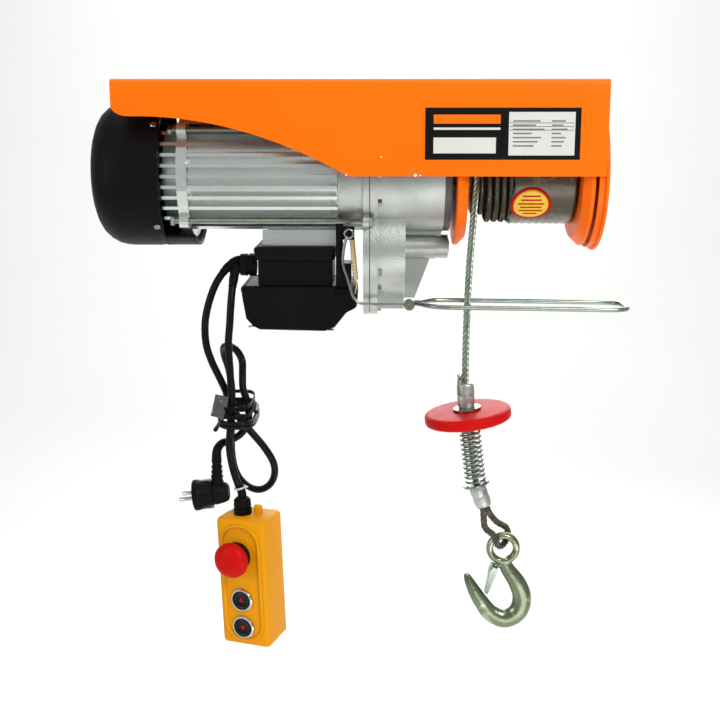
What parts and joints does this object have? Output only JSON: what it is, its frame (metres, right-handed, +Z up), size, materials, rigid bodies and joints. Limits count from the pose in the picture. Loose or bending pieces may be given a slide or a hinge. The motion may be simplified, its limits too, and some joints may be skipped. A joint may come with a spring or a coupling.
{
  "type": "electric wire rope hoist",
  "caption": "Electric wire rope hoist: open orange sheet cover, finned motor, gearbox, rope drum, limit bail, hook with stop disc, and a hanging push-button pendant.",
  "frame": {"origin": "centre of the cover's flat top face, where the hoist is fastened under a beam or bracket", "axes": "+X along the motor and drum towards the drum end, +Y to the back, +Z up"},
  "size_m": [0.5445, 0.1703, 0.5929],
  "materials": {
    "orange_paint": "gloss orange paint",
    "cast_aluminium": "as-cast",
    "motor_aluminium": "machined and extruded",
    "black_plastic": "satin",
    "zinc_steel": "zinc plated",
    "gold_zinc": "yellow zinc plated",
    "steel": "ground",
    "gear_steel": "hardened",
    "copper": "enamelled wire",
    "core_steel": "laminated",
    "greased_rope": "greased wire rope",
    "bright_rope": "galvanised wire rope",
    "red_plastic": "gloss",
    "yellow_plastic": "satin",
    "gasket_paper": "paper gasket",
    "black_rubber": "cable jacket"
  },
  "bodies": {
    "frame": {"frame_cover": "orange_paint", "end_support": "orange_paint", "gearbox_housing": "cast_aluminium", "gearbox_cover": "cast_aluminium", "gearbox_gasket": "gasket_paper", "stator_housing": "motor_aluminium", "stator_core": "core_steel", "winding_front": "copper", "winding_rear": "copper", "rear_end_shield": "motor_aluminium", "fan_cover": "black_plastic", "brake_coil": "core_steel", "motor_bearing_rear": "steel", "motor_bearing_front": "steel", "shaft_a_bearing": "steel", "shaft_b_bearing": "steel", "drum_bearing_left": "steel", "drum_bearing_right": "steel", "box_pad": "motor_aluminium", "box_base": "black_plastic", "box_cover": "black_plastic", "capacitor": "motor_aluminium", "limit_switch": "black_plastic", "limit_spring": "gold_zinc", "cable_gland": "black_plastic", "motor_stud_1": "zinc_steel", "motor_stud_2": "zinc_steel", "motor_stud_3": "zinc_steel", "motor_stud_4": "zinc_steel", "pendant_front": "yellow_plastic", "pendant_back": "yellow_plastic", "pendant_gland": "black_plastic", "switch_block": "black_plastic", "power_cord": "black_rubber", "pendant_cord": "black_rubber", "plug": "black_plastic"},
    "rotor": {"rotor_core": "core_steel", "motor_shaft": "gear_steel", "fan": "black_plastic"},
    "intermediate_a": {"shaft_a": "gear_steel", "shaft_a_gear": "gear_steel"},
    "intermediate_b": {"shaft_b": "gear_steel", "shaft_b_gear": "gear_steel"},
    "drum": {"drum": "orange_paint", "drum_gear": "gear_steel", "wound_rope": "greased_rope"},
    "limit_lever": {"limit_arm": "zinc_steel", "limit_bail": "zinc_steel"},
    "rope_end": {"hanging_rope": "bright_rope", "upper_ferrule": "motor_aluminium", "lower_rope": "bright_rope", "bumper_spring": "zinc_steel", "lower_ferrule": "motor_aluminium", "rope_eye": "greased_rope"},
    "stop": {"stop_disc": "red_plastic"},
    "hook": {"hook": "zinc_steel"},
    "latch": {"hook_latch": "zinc_steel"},
    "estop": {"estop_button": "red_plastic"},
    "up": {"up_button": "black_plastic"},
    "down": {"down_button": "black_plastic"}
  },
  "joints": [
    {"name": "drum_spin", "type": "hinge", "parent": "frame", "child": "drum", "pos_m": [0.16, 0, -0.093], "axis": [-1, 0, 0], "range_deg": [-720, 117]},
    {"name": "hook_lift", "type": "slide", "parent": "frame", "child": "rope_end", "axis": [0, 0, 1], "range_m": [-0.585, 0.096], "deforming": ["hanging_rope"]},
    {"name": "shaft_b_spin", "type": "hinge", "parent": "frame", "child": "intermediate_b", "pos_m": [0.05, 0, -0.168], "axis": [-1, 0, 0], "continuous": true},
    {"name": "shaft_a_spin", "type": "hinge", "parent": "frame", "child": "intermediate_a", "pos_m": [0.01, 0.03064, -0.12172], "axis": [-1, 0, 0], "continuous": true},
    {"name": "rotor_spin", "type": "hinge", "parent": "frame", "child": "rotor", "pos_m": [-0.1, 0, -0.093], "axis": [-1, 0, 0], "continuous": true},
    {"name": "bail_lift", "type": "hinge", "parent": "frame", "child": "limit_lever", "pos_m": [-0.011, -0.0565, -0.1495], "axis": [0, -1, 0], "range_deg": [0, 10], "stiffness_Nm_per_rad": 0.4, "springref_deg": -17.19},
    {"name": "stop_slide", "type": "slide", "parent": "rope_end", "child": "stop", "axis": [0.1352, 0, -0.9908], "range_m": [0, 0.03], "stiffness_N_per_m": 600, "springref_m": -0.008, "deforming": ["bumper_spring"]},
    {"name": "hook_swing", "type": "hinge", "parent": "rope_end", "child": "hook", "pos_m": [0.1527, -0.0463, -0.4853], "axis": [0, 1, 0], "range_deg": [-40, 40]},
    {"name": "latch_open", "type": "hinge", "parent": "hook", "child": "latch", "pos_m": [0.143, -0.0463, -0.507], "axis": [0, -1, 0], "range_deg": [0, 28], "stiffness_Nm_per_rad": 0.02, "springref_deg": -17.19},
    {"name": "estop_press", "type": "slide", "parent": "frame", "child": "estop", "axis": [0.3744, 0.9272, 0.0131], "range_m": [0, 0.005]},
    {"name": "up_press", "type": "slide", "parent": "frame", "child": "up", "axis": [0.3744, 0.9272, 0.0131], "range_m": [0, 0.0035], "stiffness_N_per_m": 200, "springref_m": -0.002},
    {"name": "down_press", "type": "slide", "parent": "frame", "child": "down", "axis": [0.3744, 0.9272, 0.0131], "range_m": [0, 0.0035], "stiffness_N_per_m": 200, "springref_m": -0.002}
  ],
  "couplings": [
    {"joint": "hook_lift", "follows": "drum_spin", "m_per_rad": 0.04625},
    {"joint": "shaft_b_spin", "follows": "drum_spin", "ratio": -2.5714},
    {"joint": "shaft_a_spin", "follows": "drum_spin", "ratio": 12.066},
    {"joint": "rotor_spin", "follows": "drum_spin", "ratio": -49.361}
  ]
}
